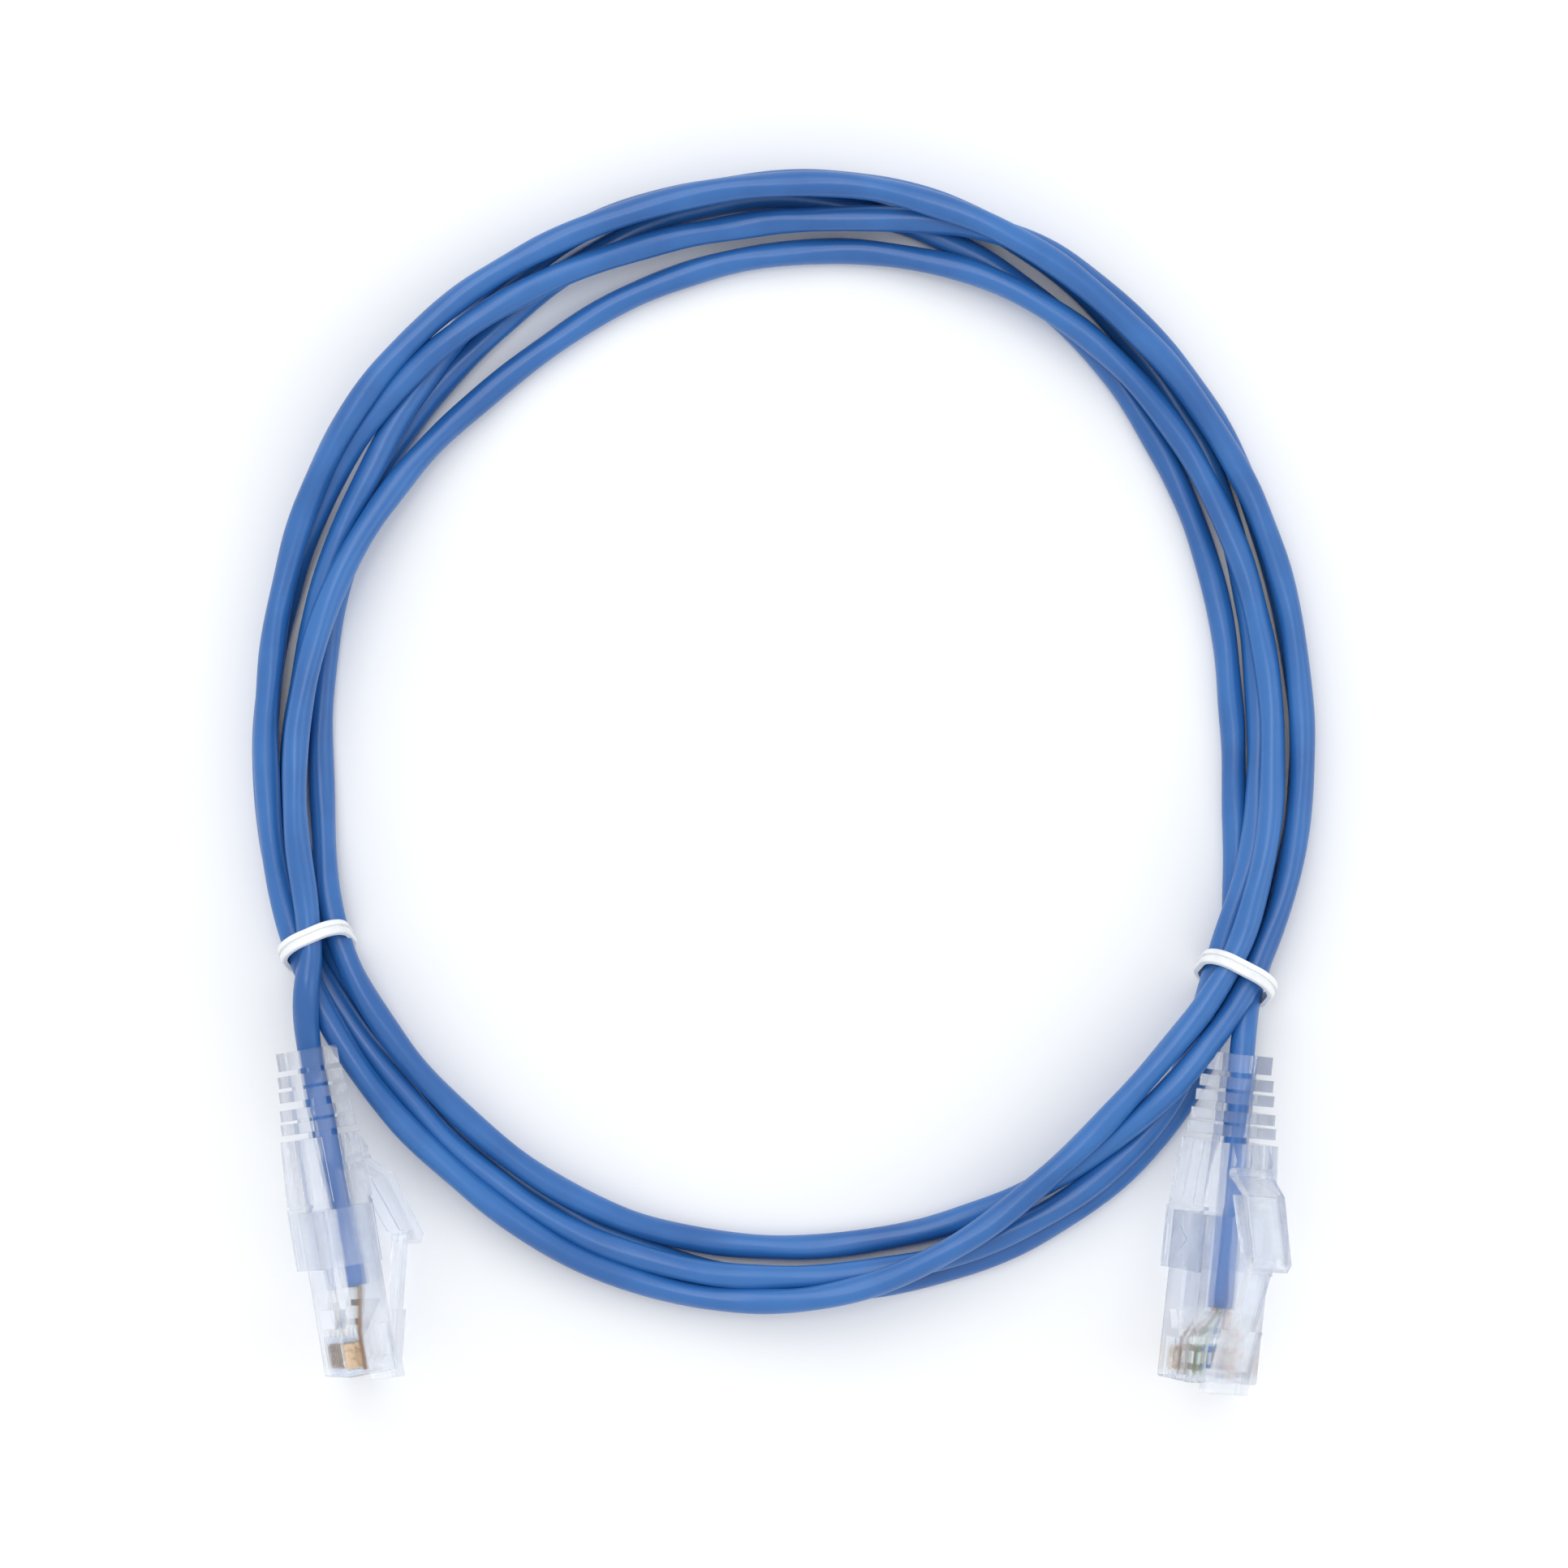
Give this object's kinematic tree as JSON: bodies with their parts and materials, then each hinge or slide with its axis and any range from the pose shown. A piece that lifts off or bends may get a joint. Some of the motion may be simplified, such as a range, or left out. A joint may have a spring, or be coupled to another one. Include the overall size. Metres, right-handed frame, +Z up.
{
  "type": "ethernet patch cable",
  "caption": "Slim blue network patch cable coiled and held by white ties, with clear modular plugs, latches and snagless boots on both ends.",
  "frame": {"origin": "on the surface the cable lies on, under the middle of its footprint", "axes": "+Z up from the surface, +Y from the two plugs towards the far side of the coil, +X towards plug b"},
  "size_m": [0.1374, 0.1579, 0.0177],
  "materials": {
    "clear_plug": "clear polycarbonate, polished",
    "clear_boot": "clear plastic, moulded, slightly frosted at the edges",
    "gold": "gold-plated phosphor bronze",
    "jacket": "satin PVC, blue",
    "tie": "white coated twist tie, glossy",
    "wire_white_orange": "solid-colour insulation",
    "wire_orange": "solid-colour insulation",
    "wire_white_green": "solid-colour insulation",
    "wire_blue": "solid-colour insulation",
    "wire_white_blue": "solid-colour insulation",
    "wire_green": "solid-colour insulation",
    "wire_white_brown": "solid-colour insulation",
    "wire_brown": "solid-colour insulation"
  },
  "bodies": {
    "cable": {"boot_a": "clear_boot", "boot_b": "clear_boot", "conductor_1_a": "wire_white_orange", "conductor_1_b": "wire_white_orange", "conductor_2_a": "wire_orange", "conductor_2_b": "wire_orange", "conductor_3_a": "wire_white_green", "conductor_3_b": "wire_white_green", "conductor_4_a": "wire_blue", "conductor_4_b": "wire_blue", "conductor_5_a": "wire_white_blue", "conductor_5_b": "wire_white_blue", "conductor_6_a": "wire_green", "conductor_6_b": "wire_green", "conductor_7_a": "wire_white_brown", "conductor_7_b": "wire_white_brown", "conductor_8_a": "wire_brown", "conductor_8_b": "wire_brown", "contact_1_a": "gold", "contact_1_b": "gold", "contact_2_a": "gold", "contact_2_b": "gold", "contact_3_a": "gold", "contact_3_b": "gold", "contact_4_a": "gold", "contact_4_b": "gold", "contact_5_a": "gold", "contact_5_b": "gold", "contact_6_a": "gold", "contact_6_b": "gold", "contact_7_a": "gold", "contact_7_b": "gold", "contact_8_a": "gold", "contact_8_b": "gold", "housing_a": "clear_plug", "housing_b": "clear_plug", "jacket_a": "jacket", "jacket_b": "jacket", "jacket_coil": "jacket", "tie_left": "tie", "tie_right": "tie"},
    "latch_lever_a": {"latch_a": "clear_plug"},
    "latch_guard_a": {"hood_a": "clear_boot"},
    "latch_lever_b": {"latch_b": "clear_plug"},
    "latch_guard_b": {"hood_b": "clear_boot"}
  },
  "joints": [
    {"name": "latch_press_a", "type": "hinge", "parent": "cable", "child": "latch_lever_a", "pos_m": [-0.05176, -0.07459, 0.007], "axis": [0.3629, 0.1009, 0.9263], "range_deg": [0, 10], "stiffness_Nm_per_rad": 0.04},
    {"name": "guard_press_a", "type": "hinge", "parent": "cable", "child": "latch_guard_a", "pos_m": [-0.05498, -0.04861, 0.00543], "axis": [-0.3629, -0.1009, -0.9263], "range_deg": [0, 13.5], "stiffness_Nm_per_rad": 0.04},
    {"name": "latch_press_b", "type": "hinge", "parent": "cable", "child": "latch_lever_b", "pos_m": [0.05642, -0.07615, 0.01039], "axis": [-0.8027, 0.1017, 0.5876], "range_deg": [0, 10], "stiffness_Nm_per_rad": 0.04},
    {"name": "guard_press_b", "type": "hinge", "parent": "cable", "child": "latch_guard_b", "pos_m": [0.05996, -0.05016, 0.01074], "axis": [0.8027, -0.1017, -0.5876], "range_deg": [0, 13.5], "stiffness_Nm_per_rad": 0.04}
  ],
  "couplings": [
    {"joint": "latch_press_a", "follows": "guard_press_a", "ratio": 0.74},
    {"joint": "latch_press_b", "follows": "guard_press_b", "ratio": 0.74}
  ]
}
